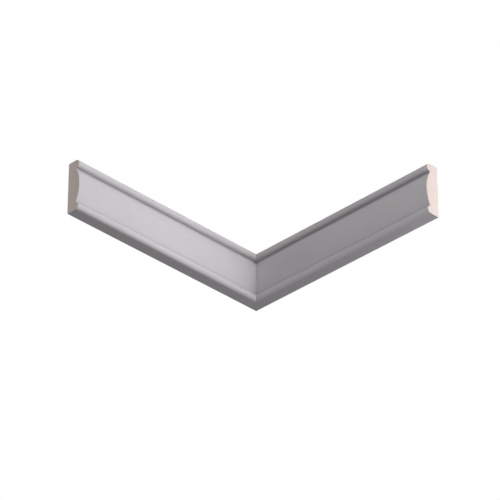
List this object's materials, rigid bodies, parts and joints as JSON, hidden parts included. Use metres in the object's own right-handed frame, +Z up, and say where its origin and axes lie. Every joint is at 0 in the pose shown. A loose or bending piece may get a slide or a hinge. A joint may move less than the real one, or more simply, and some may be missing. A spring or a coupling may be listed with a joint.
{
  "type": "wall moulding",
  "caption": "Inside corner of wall moulding: mitred lengths of primed fibreboard with a flat back, a cushioned face between half-round beads, and square-sawn free ends.",
  "frame": {"origin": "foot of the wall corner: the point where the left back, the right back and the underside meet", "axes": "+Z up the wall; the right length runs along +X with its back facing +Y; the left length runs along -Y with its back facing -X"},
  "size_m": [0.247, 0.256, 0.057],
  "materials": {
    "primed_fibreboard": "matt pale grey primer on the moulded faces and edges, bare cream fibreboard on the sawn ends and the back"
  },
  "bodies": {
    "root": {"left_length": "primed_fibreboard", "right_length": "primed_fibreboard"}
  },
  "joints": []
}
